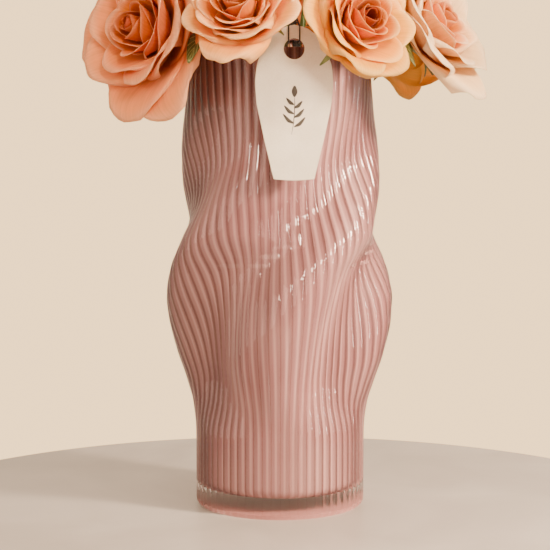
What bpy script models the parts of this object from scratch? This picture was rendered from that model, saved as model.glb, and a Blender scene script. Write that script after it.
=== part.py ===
"""Garden roses in a ribbed, softly lobed glass vase, with a gift tag on a cord.

Metres, +Z up. The origin is the centre of the vase's foot on the table, and -Y is the front.
The vase is clear ribbed glass over a thin coloured lining. Fourteen roses stand in it: eight lean out
over the rim, five sit above them and one crowns the dome. Their stems cross at a twine tie.
"""

import math

import bpy

# --- vase: outer form ---------------------------------------------------------------------------
VASE_HEIGHT = 0.292
BASE_RADIUS = 0.0541
FOOT_RADIUS = 0.0502          # flat face that stands on the table
FOOT_BEVEL = 0.0040
RIB_COUNT = 60
RIB_DEPTH = 0.0009            # crest to groove
LOBE_COUNT = 4
LOBE_SHARPNESS = 1.25         # above 1 the ridges are narrower than the valleys
# height as a share of VASE_HEIGHT, mean radius and lobe size as shares of BASE_RADIUS, ridge angle
FORM = (
    (0.000, 1.000, 0.000, 0.0),
    (0.183, 1.000, 0.000, 0.0),
    (0.232, 0.985, 0.060, -5.0),
    (0.285, 1.020, 0.120, -8.0),
    (0.328, 1.074, 0.149, -7.0),
    (0.394, 1.132, 0.179, -2.0),
    (0.459, 1.170, 0.179, 5.0),
    (0.532, 1.168, 0.151, 18.5),
    (0.596, 1.195, 0.085, 41.3),
    (0.637, 1.147, 0.092, 52.5),
    (0.747, 1.085, 0.080, 84.0),
    (0.877, 1.110, 0.030, 117.0),
    (1.000, 1.100, 0.046, 140.0),
)
OUTER_LEVELS = (0.106, 0.183, 0.232, 0.285, 0.328, 0.394, 0.459, 0.495, 0.532, 0.564, 0.596,
                0.637, 0.690, 0.747, 0.811, 0.877, 0.975)
INNER_LEVELS = (0.975, 0.877, 0.747, 0.637, 0.596, 0.532, 0.459, 0.394, 0.328, 0.285, 0.183)

# --- vase: walls --------------------------------------------------------------------------------
GLASS_WALL = 0.0030           # from the rib grooves inwards
GLASS_FLOOR = 0.0130
LINING_WALL = 0.0010
FIT_GAP = 0.0003              # between pieces that rest on each other
INNER_POINTS = 40

# --- roses --------------------------------------------------------------------------------------
BLOOM_RADIUS = 0.0365         # guard petals, full-size rose
BLOOM_DEPTH = 0.0345          # calyx to the tip of the heart
PETAL_POINTS = 15
HEART_POINTS = 12
PETAL_WAVE = 0.07
STEM_RADIUS = 0.0023
STEM_SIDES = 6
HIP_RADIUS = 0.0052
HIP_LENGTH = 0.0080            # straight part of the stem under the bloom
RIM_CLEARANCE = 0.0015        # between a stem and the glass that it lies over
RIM_MARGIN_OUTSIDE = 0.0040   # how far a lower stem stays level past the rim, on each side of it
RIM_MARGIN_INSIDE = 0.0018
DOME_PER_BLOOM = 3.096        # radius of the dome of hearts over BLOOM_RADIUS, so that neighbours clear
DOME_ABOVE_RIM = -0.0020
# lower ring: angle from the front towards +X, height of the heart above the vase's rim, lean above
# level, turn, size
LOWER_ROSES = (
    (-57.0, 0.010, 10.0, 12.0, 1.12),
    (-14.0, 0.023, 30.0, 0.0, 0.95),
    (29.0, 0.011, 17.0, 4.0, 0.95),
    (75.0, 0.020, 30.0, -16.0, 0.95),
    (121.0, 0.014, 20.0, 6.0, 0.97),
    (166.0, 0.019, 24.0, 0.0, 0.95),
    (211.0, 0.012, 17.0, -4.0, 0.97),
    (255.5, 0.019, 26.0, 0.0, 0.95),
)
UPPER_ROSE_COUNT = 5
UPPER_ROSE_ELEVATION = 51.0
UPPER_ROSE_TURN = 8.0
UPPER_ROSE_SIZE = 0.88
CROWN_SIZE = 0.86
TIE_HEIGHT = 0.200
TIE_RING = 0.0220             # where the lower roses' stems cross the tie
TIE_RING_UPPER = 0.0115
STEM_FOOT_HEIGHT = 0.0190
STEM_FOOT_MARGIN = 0.0119     # from the lining inwards to the lower roses' stem feet
STEM_FOOT_RING_UPPER = 0.0220
STEM_TWIST = 38.0             # turn of every stem between tie and foot
TWINE_RADIUS = 0.0012

# --- leaves -------------------------------------------------------------------------------------
LEAF_LENGTH = 0.044
LEAF_WIDTH = 0.016
LEAF_THICKNESS = 0.0010
LEAF_MARGIN = 0.0020          # a leaf starts this far inside the end of the stems' level run
LEAF_ANGLES = (-32.0, 53.0, 98.0, 144.0, 189.5, 235.0, 278.0)

# --- gift tag -----------------------------------------------------------------------------------
TAG_HEIGHT = 0.0900
TAG_WIDTH = 0.0460
TAG_FOOT_WIDTH = 0.0240
TAG_THICKNESS = 0.0008
TAG_CENTRE_X = 0.0080
TAG_ABOVE_RIM = 0.0070        # top edge of the card over the vase's rim
TAG_FRONT_Y = -0.0685
TAG_HOLE_RADIUS = 0.0061
TAG_HOLE_BELOW_TOP = 0.0140
CORD_RADIUS = 0.00045
CORD_SPACING = 0.0065
BEAD_RADIUS = 0.0027
BEAD_LENGTH = 0.0075
RIBBON_WIDTH = 0.0050
RIBBON_THICKNESS = 0.0006

# --- sizes that follow from the ones above --------------------------------------------------------
LINED_WALL = RIB_DEPTH + GLASS_WALL + FIT_GAP + LINING_WALL
RIM_OUTSIDE = BASE_RADIUS * (FORM[-1][1] + FORM[-1][2]) + RIM_MARGIN_OUTSIDE
RIM_INSIDE = BASE_RADIUS * (FORM[-1][1] - FORM[-1][2]) - LINED_WALL - RIM_MARGIN_INSIDE
DOME_RADIUS = DOME_PER_BLOOM * BLOOM_RADIUS
DOME_CENTRE_Z = VASE_HEIGHT + DOME_ABOVE_RIM
STEM_FOOT_RING = BASE_RADIUS - LINED_WALL - STEM_FOOT_MARGIN
LEAF_START = RIM_OUTSIDE - LEAF_MARGIN
TAG_BOTTOM_Z = VASE_HEIGHT + TAG_ABOVE_RIM - TAG_HEIGHT


for leftover in list(bpy.data.objects):
    bpy.data.objects.remove(leftover, do_unlink=True)


def material(name, colour, roughness, metallic=0.0, alpha=1.0):
    """A plain Principled material."""
    made = bpy.data.materials.new(name)
    made.use_nodes = True
    shader = made.node_tree.nodes["Principled BSDF"]
    shader.inputs["Base Color"].default_value = (*colour, 1.0)
    shader.inputs["Roughness"].default_value = roughness
    shader.inputs["Metallic"].default_value = metallic
    shader.inputs["Alpha"].default_value = alpha
    return made


def add_mesh(name, points, faces, stuff, smooth=True):
    """Add one named object from points and faces."""
    mesh = bpy.data.meshes.new(name)
    mesh.from_pydata(points, [], faces)
    mesh.materials.append(stuff)
    for face in mesh.polygons:
        face.use_smooth = smooth
    mesh.update()
    made = bpy.data.objects.new(name, mesh)
    bpy.context.scene.collection.objects.link(made)
    return made


def strip(first, first_count, second, second_count, rising):
    """Triangles between two closed rings, where the first has a whole number of points for each of the second's.

    The split runs the same way on a wall's two sides, so that walls that fit together stay parallel.
    """
    step = first_count // second_count
    faces = []
    for j in range(second_count):
        start, after = j * step, ((j + 1) * step) % first_count
        near, far = second + j, second + (j + 1) % second_count
        if step == 1 and rising:
            faces += [(first + start, first + after, far), (first + start, far, near)]
            continue
        if step == 1:
            faces += [(first + start, first + after, near), (first + after, far, near)]
            continue
        half = start + (step + 1) // 2
        for k in range(start, start + step):
            corner = near if k < half else far
            faces.append((first + k, first + (k + 1) % first_count, corner))
        faces.append((first + half, far, near))
    return faces


def skin(rings):
    """Points and faces of a closed solid through rings, from the first cap to the last."""
    points, faces, starts = [], [], []
    for ring in rings:
        starts.append(len(points))
        points.extend(ring)
    for (a, ring_a), (b, ring_b) in zip(zip(starts, rings), list(zip(starts, rings))[1:]):
        rising = ring_b[0][2] >= ring_a[0][2]
        faces.extend(strip(a, len(ring_a), b, len(ring_b), rising))
    for end, turn in ((0, True), (-1, False)):
        ring = rings[end]
        centre = len(points)
        points.append(tuple(sum(p[k] for p in ring) / len(ring) for k in range(3)))
        for j in range(len(ring)):
            a, b = starts[end] + j, starts[end] + (j + 1) % len(ring)
            faces.append((b, a, centre) if turn else (a, b, centre))
    return points, faces


def form_at(share):
    """Mean radius, lobe size and ridge angle of the vase at a share of its height."""
    for low, high in zip(FORM, FORM[1:]):
        if share <= high[0]:
            t = (share - low[0]) / (high[0] - low[0])
            return tuple(a + (b - a) * t for a, b in zip(low[1:], high[1:]))
    return FORM[-1][1:]


def lobed_radius(angle, share):
    """Radius of the vase without its ribs, angle in radians from the front."""
    mean, lobe, ridge = form_at(share)
    wave = 0.5 + 0.5 * math.cos(LOBE_COUNT * (angle - math.radians(ridge)))
    return BASE_RADIUS * (mean + lobe * (2.0 * wave**LOBE_SHARPNESS - 1.0))


def around(angle, radius, z):
    """A point at an angle in radians from the front (-Y) towards +X."""
    return (radius * math.sin(angle), -radius * math.cos(angle), z)


def vase_ring(count, share, inset, z=None, ribbed=False, radius=None):
    """A closed ring round the vase."""
    ring = []
    for j in range(count):
        angle = 2.0 * math.pi * j / count
        r = (radius if radius is not None else lobed_radius(angle, share)) - inset
        if ribbed and j % 2:
            r -= RIB_DEPTH
        ring.append(around(angle, r, VASE_HEIGHT * share if z is None else z))
    return ring


def build_vase():
    """The ribbed glass shell and the lining inside it."""
    glass = material("clear_glass", (0.93, 0.88, 0.86), 0.05, alpha=0.35)
    pink = material("dusty_pink_lining", (0.62, 0.36, 0.31), 0.30)
    ribs = 2 * RIB_COUNT
    wall = RIB_DEPTH + GLASS_WALL
    top = VASE_HEIGHT
    rings = [vase_ring(ribs, 0.0, 0.0, z=0.0, radius=FOOT_RADIUS)]
    rings.append(vase_ring(ribs, 0.0, 0.0, z=FOOT_BEVEL, ribbed=True, radius=BASE_RADIUS))
    rings += [vase_ring(ribs, share, 0.0, ribbed=True) for share in OUTER_LEVELS]
    rings.append(vase_ring(ribs, 1.0, 0.0010, z=top))
    rings.append(vase_ring(INNER_POINTS, 1.0, wall, z=top))
    inner = [vase_ring(INNER_POINTS, share, wall) for share in INNER_LEVELS]
    floor = [
        vase_ring(INNER_POINTS, 0.0, wall, z=GLASS_FLOOR + 0.006),
        vase_ring(INNER_POINTS, 0.0, wall + 0.004, z=GLASS_FLOOR),
    ]
    add_mesh("vase_glass", *skin(rings + inner + floor), glass)

    out = wall + FIT_GAP
    base = GLASS_FLOOR + FIT_GAP
    shell = [
        vase_ring(INNER_POINTS, 0.0, out + 0.004, z=base),
        vase_ring(INNER_POINTS, 0.0, out, z=base + 0.006),
    ]
    shell += [vase_ring(INNER_POINTS, share, out) for share in reversed(INNER_LEVELS)]
    shell.append(vase_ring(INNER_POINTS, 1.0, out, z=top - 0.0005))
    back = out + LINING_WALL
    shell.append(vase_ring(INNER_POINTS, 1.0, back, z=top - 0.0005))
    shell += [vase_ring(INNER_POINTS, share, back) for share in INNER_LEVELS]
    shell.append(vase_ring(INNER_POINTS, 0.0, back, z=base + 0.006))
    shell.append(vase_ring(INNER_POINTS, 0.0, back + 0.004, z=base + LINING_WALL))
    add_mesh("vase_lining", *skin(shell), pink)


def cross(a, b):
    return (a[1] * b[2] - a[2] * b[1], a[2] * b[0] - a[0] * b[2], a[0] * b[1] - a[1] * b[0])


def unit(v):
    length = math.sqrt(sum(c * c for c in v))
    return tuple(c / length for c in v)


def along(point, direction, distance):
    return tuple(p + d * distance for p, d in zip(point, direction))


def frame_for(axis):
    """Two directions square to an axis, the second as near up as it can be."""
    side = unit(cross((0.0, 0.0, 1.0), axis) if abs(axis[2]) < 0.98 else (1.0, 0.0, 0.0))
    return side, unit(cross(axis, side))


def turned_ring(origin, axis, count, radius, height, wave=0.0, waves=5, phase=0.0):
    """A ring round an axis, with its radius and height rippled for petals."""
    side, up = frame_for(axis)
    ring = []
    for j in range(count):
        angle = 2.0 * math.pi * j / count
        ripple = wave * math.cos(waves * angle + phase)
        r, h = radius * (1.0 + ripple), height - 0.5 * radius * ripple
        ring.append(tuple(
            o + a * h + r * (math.cos(angle) * s + math.sin(angle) * u)
            for o, a, s, u in zip(origin, axis, side, up)
        ))
    return ring


# shares of the bloom's radius and depth, from the calyx out over the rim and back in
GUARD_PROFILE = (
    (0.120, 0.020), (0.380, 0.060), (0.700, 0.200), (0.910, 0.420), (1.000, 0.680),
    (0.955, 0.715), (0.840, 0.460), (0.640, 0.290), (0.420, 0.235), (0.120, 0.230),
)
HEART_PROFILE = (
    (0.120, 0.250), (0.400, 0.262), (0.560, 0.420), (0.600, 0.660), (0.530, 0.870),
    (0.340, 0.985), (0.130, 0.930),
)


def build_bloom(number, calyx, axis, size, stuff):
    """Guard petals and heart of one rose, standing on its calyx."""
    radius, depth = BLOOM_RADIUS * size, BLOOM_DEPTH * size
    phase = 1.3 * number
    guard = [
        turned_ring(calyx, axis, PETAL_POINTS, radius * r, depth * h, PETAL_WAVE * r**3, 5, phase)
        for r, h in GUARD_PROFILE
    ]
    add_mesh(f"rose_{number:02d}_petals", *skin(guard), stuff["petal"])
    heart = [
        turned_ring(calyx, axis, HEART_POINTS, radius * r, depth * h, 0.06, 3, phase + 3.0 * h)
        for r, h in HEART_PROFILE
    ]
    add_mesh(f"rose_{number:02d}_heart", *skin(heart), stuff["heart"])


def bezier(a, b, c, d, t):
    u = 1.0 - t
    return tuple(
        u**3 * p + 3 * u * u * t * q + 3 * u * t * t * r + t**3 * s
        for p, q, r, s in zip(a, b, c, d)
    )


def tube(route, radii, sides):
    """Points and faces of a round tube along a route."""
    rings = []
    side = None
    for k, point in enumerate(route):
        before, after = route[max(k - 1, 0)], route[min(k + 1, len(route) - 1)]
        axis = unit(tuple(q - p for p, q in zip(before, after)))
        if side is None:
            side = frame_for(axis)[0]
        lean = sum(s * a for s, a in zip(side, axis))
        side = unit(tuple(s - a * lean for s, a in zip(side, axis)))
        up = cross(axis, side)
        rings.append([
            tuple(
                p + radii[k] * (math.cos(2 * math.pi * j / sides) * s + math.sin(2 * math.pi * j / sides) * u)
                for p, s, u in zip(point, side, up)
            )
            for j in range(sides)
        ])
    return skin(rings)


def build_stem(number, calyx, axis, size, neck, foot, over_rim, stuff):
    """Hip and stem of one rose, over the rim, through the tie and down to the vase's floor."""
    hip = HIP_RADIUS * size
    hip_steps = ((0.0, 0.75 * hip), (0.30, hip), (0.65, 0.8 * hip))
    route = [along(calyx, axis, -FIT_GAP - HIP_LENGTH * share) for share, _ in hip_steps]
    radii = [r for _, r in hip_steps]
    above_neck = (neck[0] * 1.15, neck[1] * 1.15, neck[2] + 0.050)
    start = along(calyx, axis, -FIT_GAP - HIP_LENGTH)
    bend = along(start, axis, -0.018)
    if over_rim:
        # level over the glass, from outside the rim to inside the lining
        angle = math.atan2(start[0], -start[1])
        level = VASE_HEIGHT + STEM_RADIUS + RIM_CLEARANCE
        route += [start, around(angle, RIM_OUTSIDE, level)]
        radii += [STEM_RADIUS] * 2
        start = around(angle, RIM_INSIDE, level)
        bend = around(angle, RIM_INSIDE - 0.014, level - 0.003)
    route += [bezier(start, bend, above_neck, neck, t) for t in (0.0, 0.18, 0.36, 0.55, 0.77, 1.0)]
    radii += [STEM_RADIUS] * 6
    route.append(foot)
    radii.append(STEM_RADIUS)
    add_mesh(f"rose_{number:02d}_stem", *tube(route, radii, STEM_SIDES), stuff["stem"])


def rose_places():
    """Heart tip, axis, size, neck and foot of every rose, and whether its stem goes over the rim."""
    places = []
    twist = math.radians(STEM_TWIST)
    for degrees, rise, lean, turn, size in LOWER_ROSES:
        height = VASE_HEIGHT + rise
        angle, lean, turn = math.radians(degrees), math.radians(lean), math.radians(turn)
        tip = around(angle, math.sqrt(DOME_RADIUS**2 - (height - DOME_CENTRE_Z) ** 2), height)
        axis = around(angle + turn, math.cos(lean), math.sin(lean))
        neck = around(angle, TIE_RING, TIE_HEIGHT)
        foot = around(angle + twist, STEM_FOOT_RING, STEM_FOOT_HEIGHT)
        places.append((tip, axis, size, neck, foot, True))
    for k in range(UPPER_ROSE_COUNT):
        angle = math.radians(UPPER_ROSE_TURN + 360.0 * k / UPPER_ROSE_COUNT)
        rise = math.radians(UPPER_ROSE_ELEVATION)
        axis = around(angle, math.cos(rise), math.sin(rise))
        tip = along((0.0, 0.0, DOME_CENTRE_Z), axis, DOME_RADIUS)
        neck = around(angle, TIE_RING_UPPER, TIE_HEIGHT)
        foot = around(angle + twist, STEM_FOOT_RING_UPPER, STEM_FOOT_HEIGHT)
        places.append((tip, axis, UPPER_ROSE_SIZE, neck, foot, False))
    up = (0.0, 0.0, 1.0)
    crown = (0.0, 0.0, DOME_CENTRE_Z + DOME_RADIUS)
    places.append((crown, up, CROWN_SIZE, (0.0, 0.0, TIE_HEIGHT), (0.0, 0.0, STEM_FOOT_HEIGHT), False))
    return places


def build_roses():
    """Bloom and stem of each rose."""
    stuff = {
        "petal": material("rose_petal", (0.85, 0.52, 0.38), 0.55),
        "heart": material("rose_heart", (0.80, 0.30, 0.10), 0.55),
        "stem": material("rose_stem", (0.13, 0.22, 0.07), 0.50),
    }
    for number, (tip, axis, size, neck, foot, over_rim) in enumerate(rose_places(), start=1):
        calyx = along(tip, axis, -BLOOM_DEPTH * size)
        build_bloom(number, calyx, axis, size, stuff)
        build_stem(number, calyx, axis, size, neck, foot, over_rim, stuff)


def build_tie():
    """A turn of twine round the stems where they cross."""
    ring = TIE_RING + STEM_RADIUS + FIT_GAP + TWINE_RADIUS
    sides, turns = 6, 24
    points, faces = [], []
    for i in range(turns):
        for j in range(sides):
            swing = 2 * math.pi * j / sides
            r = ring + TWINE_RADIUS * math.cos(swing)
            z = TIE_HEIGHT + TWINE_RADIUS * math.sin(swing)
            points.append(around(2 * math.pi * i / turns, r, z))
            n = (i + 1) % turns
            k = (j + 1) % sides
            faces.append((i * sides + j, n * sides + j, n * sides + k, i * sides + k))
    add_mesh("stem_tie", points, faces, material("twine", (0.45, 0.33, 0.18), 0.80))


# share of the leaf's length and width, and how far the leaf has bent down by then
LEAF_OUTLINE = ((0.0, 0.10, 0.0), (0.15, 0.62, 6.0), (0.38, 1.0, 20.0), (0.62, 0.90, 38.0),
                (0.84, 0.50, 54.0), (1.0, 0.08, 62.0))


def build_leaf(number, degrees, stuff):
    """A leaf that comes out over the rim between two blooms and hangs down."""
    angle = math.radians(degrees)
    reach, height, last = LEAF_START, VASE_HEIGHT + 0.0045, 0.0
    rings = []
    for share, width, droop in LEAF_OUTLINE:
        step = (share - last) * LEAF_LENGTH
        last = share
        bend = math.radians(droop)
        reach += step * math.cos(bend)
        height -= step * math.sin(bend)
        half = 0.5 * LEAF_WIDTH * width
        normal = (math.sin(bend), math.cos(bend))
        ring = []
        for across, thick in ((-half, 0.0), (0.0, -1.0), (half, 0.0), (0.0, 1.0)):
            lift = 0.10 * abs(across)
            r = reach + normal[0] * (0.5 * LEAF_THICKNESS * thick + lift)
            z = height + normal[1] * (0.5 * LEAF_THICKNESS * thick + lift)
            x, y, _ = around(angle, r, 0.0)
            ring.append((x + across * math.cos(angle), y + across * math.sin(angle), z))
        rings.append(ring)
    add_mesh(f"leaf_{number:02d}", *skin(rings), stuff, smooth=False)


def build_leaves():
    """All the leaves round the rim."""
    stuff = material("rose_leaf", (0.16, 0.22, 0.06), 0.45)
    for number, degrees in enumerate(LEAF_ANGLES, start=1):
        build_leaf(number, degrees, stuff)


# half width as a share of TAG_WIDTH against height as a share of TAG_HEIGHT, from the foot up
TAG_SIDE = ((0.00, None), (0.12, 0.318), (0.30, 0.400), (0.48, 0.475), (0.62, 0.500), (0.74, 0.480),
            (0.85, 0.400), (0.93, 0.290), (0.98, 0.160), (1.00, 0.060))


def build_tag():
    """The card, drawn round its outline with the hole as a second loop."""
    centre_z = TAG_BOTTOM_Z + TAG_HEIGHT - TAG_HOLE_BELOW_TOP
    right = [
        (TAG_FOOT_WIDTH / 2 if w is None else w * TAG_WIDTH, TAG_BOTTOM_Z + h * TAG_HEIGHT)
        for h, w in TAG_SIDE
    ]
    outline = right + [(-x, z) for x, z in reversed(right)]
    count = len(outline)
    first = math.atan2(outline[0][1] - centre_z, outline[0][0])
    hole = [
        (TAG_HOLE_RADIUS * math.cos(first + 2 * math.pi * k / count),
         centre_z + TAG_HOLE_RADIUS * math.sin(first + 2 * math.pi * k / count))
        for k in range(count)
    ]
    points = []
    for y in (TAG_FRONT_Y, TAG_FRONT_Y + TAG_THICKNESS):
        for loop in (outline, hole):
            points.extend((TAG_CENTRE_X + x, y, z) for x, z in loop)
    faces = []
    for j in range(count):
        k = (j + 1) % count
        faces.append((j, k, count + k, count + j))
        faces.append((2 * count + k, 2 * count + j, 3 * count + j, 3 * count + k))
        faces.append((k, j, 2 * count + j, 2 * count + k))
        faces.append((count + j, count + k, 3 * count + k, 3 * count + j))
    add_mesh("tag_card", points, faces, material("cream_card", (0.86, 0.81, 0.70), 0.80), smooth=False)
    return centre_z


def resampled(corners, spacing):
    """Points at an even spacing along straight runs between corners."""
    route = [corners[0]]
    for a, b in zip(corners, corners[1:]):
        length = math.dist(a, b)
        count = max(1, round(length / spacing))
        route += [tuple(p + (q - p) * k / count for p, q in zip(a, b)) for k in range(1, count + 1)]
    return route


def build_tag_cord(hole_z):
    """The loop that hangs the card, the bead it comes out of and the ribbon back to the tie."""
    black = material("black_cord", (0.02, 0.02, 0.02), 0.70)
    top = TAG_BOTTOM_Z + TAG_HEIGHT
    edge = hole_z + TAG_HOLE_RADIUS * 0.80
    front = TAG_FRONT_Y - CORD_RADIUS - FIT_GAP
    back = TAG_FRONT_Y + TAG_THICKNESS + CORD_RADIUS + FIT_GAP
    bead_z = top + 0.0050
    left, right = TAG_CENTRE_X - CORD_SPACING / 2, TAG_CENTRE_X + CORD_SPACING / 2
    narrow = 0.0012
    inner_left, inner_right = TAG_CENTRE_X - narrow, TAG_CENTRE_X + narrow
    meet = bead_z - FIT_GAP - CORD_RADIUS
    corners = [
        (inner_left, front, meet), (left, front, top - 0.001), (left, front, edge),
        (left, back, edge - 0.0012), (left, back, top - 0.0015), (left + 0.001, back, top + 0.0012),
        (right - 0.001, back, top + 0.0012), (right, back, top - 0.0015), (right, back, edge - 0.0012),
        (right, front, edge), (right, front, top - 0.001), (inner_right, front, meet),
    ]
    route = resampled(corners, 0.0024)
    add_mesh("tag_cord", *tube(route, [CORD_RADIUS] * len(route), 8), black)

    bead_shape = ((0.0, 0.75), (0.12, 1.0), (0.88, 1.0), (1.0, 0.75))
    bead_route = [(TAG_CENTRE_X, front, bead_z + h * BEAD_LENGTH) for h, _ in bead_shape]
    add_mesh("cord_bead", *tube(bead_route, [BEAD_RADIUS * r for _, r in bead_shape], 12), black)

    start = bead_z + BEAD_LENGTH + FIT_GAP
    turn = math.atan2(TAG_CENTRE_X, -TAG_FRONT_Y)
    tie_reach = TIE_RING + STEM_RADIUS + 2 * TWINE_RADIUS + 2 * FIT_GAP + RIBBON_THICKNESS
    end = around(turn, tie_reach, TIE_HEIGHT + 0.004)
    p0 = (TAG_CENTRE_X, front, start)
    p1 = (TAG_CENTRE_X, front + 0.004, start + 0.012)
    p2 = (TAG_CENTRE_X, -0.040, start + 0.014)
    p3 = (TAG_CENTRE_X * 0.85, -0.040, start - 0.030)
    ribbon = [bezier(p0, p1, p2, p3, t / 10) for t in range(11)]
    ribbon += [tuple(a + (b - a) * t / 5 for a, b in zip(p3, end)) for t in range(1, 6)]
    rings = []
    for k, point in enumerate(ribbon):
        before, after = ribbon[max(k - 1, 0)], ribbon[min(k + 1, len(ribbon) - 1)]
        axis = unit(tuple(q - p for p, q in zip(before, after)))
        wide = (1.0, 0.0, 0.0)
        thick = unit(cross(axis, wide))
        half_w, half_t = RIBBON_WIDTH / 2, RIBBON_THICKNESS / 2
        rings.append([
            tuple(p + w * a + t * b for p, a, b in zip(point, wide, thick))
            for w, t in ((-half_w, -half_t), (half_w, -half_t), (half_w, half_t), (-half_w, half_t))
        ])
    add_mesh("tag_ribbon", *skin(rings), black, smooth=False)


build_vase()
build_roses()
build_tie()
build_leaves()
build_tag_cord(build_tag())
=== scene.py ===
"""Garden roses in a ribbed, softly lobed glass vase, with a gift tag on a black cord.

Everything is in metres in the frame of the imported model: +Z up, -Y to the front, the centre of the
vase's foot at the origin. Each class below makes one sub-assembly and dresses it.
"""

import logging
import math
from dataclasses import dataclass, field
from enum import Enum
from typing import Callable

import bpy
import numpy as np
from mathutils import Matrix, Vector


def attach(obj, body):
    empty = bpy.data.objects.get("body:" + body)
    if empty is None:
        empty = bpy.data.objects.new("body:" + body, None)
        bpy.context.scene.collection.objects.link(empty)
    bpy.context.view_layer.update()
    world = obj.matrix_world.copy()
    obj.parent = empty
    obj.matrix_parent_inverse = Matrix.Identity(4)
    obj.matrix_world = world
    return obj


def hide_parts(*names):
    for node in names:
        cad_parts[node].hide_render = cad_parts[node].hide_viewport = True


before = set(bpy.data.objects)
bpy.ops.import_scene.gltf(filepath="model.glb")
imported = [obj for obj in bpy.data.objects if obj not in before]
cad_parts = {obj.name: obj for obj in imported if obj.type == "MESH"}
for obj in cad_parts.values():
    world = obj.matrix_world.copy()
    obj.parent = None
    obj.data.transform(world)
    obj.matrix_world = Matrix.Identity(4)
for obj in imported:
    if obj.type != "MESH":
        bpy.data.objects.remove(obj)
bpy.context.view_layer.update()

log = logging.getLogger("roses_in_a_vase")
MM = 0.001
SEAM = 0.00001  # points nearer than this are one
Point = tuple[float, float, float]
Row = tuple[float, float, float, float]
Form = Callable[[np.ndarray, np.ndarray], np.ndarray]
# settings that many nodes share
SMOOTH = {"interpolation_type": "SMOOTHSTEP"}
BLEND = {"data_type": "RGBA"}
TIMES = {"operation": "MULTIPLY"}
PINGPONG = {"operation": "PINGPONG"}
WAVE_SCALE = 0.314  # a wave texture of scale 1 repeats every 0.314 m


# --- shared tools -------------------------------------------------------------------------------
def linear(code: str) -> tuple[float, float, float, float]:
    """Turn an sRGB hex colour into linear RGBA.

    Args:
        code: six hex digits.

    Returns:
        The colour in linear light, with alpha 1.
    """
    parts = [int(code[k:k + 2], 16) / 255 for k in (0, 2, 4)]
    r, g, b = (p / 12.92 if p <= 0.04045 else ((p + 0.055) / 1.055) ** 2.4 for p in parts)
    return (r, g, b, 1.0)


def feed(tree: bpy.types.NodeTree, target: bpy.types.Node, **links: object) -> None:
    """Set or link a node's inputs.

    Args:
        tree: the material's node tree.
        target: the node.
        **links: values or sockets, named by the input with _ for a space, or in0, in1 by place.
    """
    for name, value in links.items():
        place = int(name[2:]) if name[:2] == "in" and name[2:].isdigit() else name.replace("_", " ")
        if isinstance(value, bpy.types.NodeSocket):
            tree.links.new(value, target.inputs[place])
        else:
            target.inputs[place].default_value = value


def node(
    tree: bpy.types.NodeTree, kind: str, settings: dict[str, object] | None = None, **links: object
) -> bpy.types.Node:
    """Add a shader node with its settings, values and links.

    Args:
        tree: the material's node tree.
        kind: the node's type, without the ShaderNode prefix.
        settings: attributes of the node, such as operation, or stops: a ramp's places and hex colours.
        **links: what feeds its inputs.

    Returns:
        The new node.
    """
    made = tree.nodes.new("ShaderNode" + kind)
    for name, value in (settings or {}).items():
        if name != "stops":
            setattr(made, name, value)
            continue
        band = made.color_ramp
        while len(band.elements) < len(value):
            band.elements.new(0.5)
        for element, (place, code) in zip(band.elements, value):
            element.position, element.color = place, linear(code)
    feed(tree, made, **links)
    return made


def new_material(name: str) -> tuple[bpy.types.Material, bpy.types.NodeTree, bpy.types.Node, bpy.types.Node]:
    """Start a material.

    Args:
        name: the real material's name.

    Returns:
        The material, its tree, its Principled shader and its output.
    """
    made = bpy.data.materials.new(name)
    made.use_nodes = True
    tree = made.node_tree
    return made, tree, tree.nodes["Principled BSDF"], tree.nodes["Material Output"]


def only(piece: bpy.types.Object) -> None:
    """Select one piece and nothing else."""
    bpy.ops.object.select_all(action="DESELECT")
    piece.select_set(True)
    bpy.context.view_layer.objects.active = piece


def sheet_of(name: str, across: int, along: int) -> bpy.types.Object:
    """Add a flat grid with a UV map, the start of a petal, a leaf or a shell.

    Args:
        name: the piece's name.
        across: faces across.
        along: faces along.

    Returns:
        The grid.
    """
    bpy.ops.object.select_all(action="DESELECT")
    bpy.ops.mesh.primitive_grid_add(x_subdivisions=across, y_subdivisions=along, size=1.0)
    made = bpy.context.active_object
    made.name = made.data.name = name
    return made


def shape(mesh: bpy.types.Mesh, place: Form) -> None:
    """Move every point of a grid to where a form puts it.

    Args:
        mesh: a grid from sheet_of, or a copy of one.
        place: takes the shares across and along, from 0 to 1, and gives the points.
    """
    flat = np.empty(len(mesh.vertices) * 3)
    mesh.vertices.foreach_get("co", flat)
    flat = flat.reshape(-1, 3)
    mesh.vertices.foreach_set("co", place(flat[:, 0] + 0.5, flat[:, 1] + 0.5).astype(float).ravel())
    mesh.update()


def close(piece: bpy.types.Object) -> None:
    """Merge the seams and poles of a wrapped grid, and turn its faces outwards."""
    only(piece)
    bpy.ops.object.mode_set(mode="EDIT")
    bpy.ops.mesh.select_all(action="SELECT")
    bpy.ops.mesh.remove_doubles(threshold=SEAM)
    bpy.ops.mesh.normals_make_consistent(inside=False)
    bpy.ops.object.mode_set(mode="OBJECT")


def modify(piece: bpy.types.Object, kind: str, **settings: object) -> None:
    """Add a modifier and apply it."""
    only(piece)
    made = piece.modifiers.new(kind.title(), kind)
    for name, value in settings.items():
        setattr(made, name, value)
    bpy.ops.object.modifier_apply(modifier=made.name)


def joined(name: str, pieces: list[bpy.types.Object]) -> bpy.types.Object:
    """Join pieces into one.

    Args:
        name: the joined piece's name.
        pieces: what it's made of.

    Returns:
        The joined piece.
    """
    bpy.ops.object.select_all(action="DESELECT")
    for piece in pieces:
        piece.select_set(True)
    bpy.context.view_layer.objects.active = pieces[0]
    bpy.ops.object.join()
    made = bpy.context.active_object
    made.name = made.data.name = name
    return made


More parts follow.
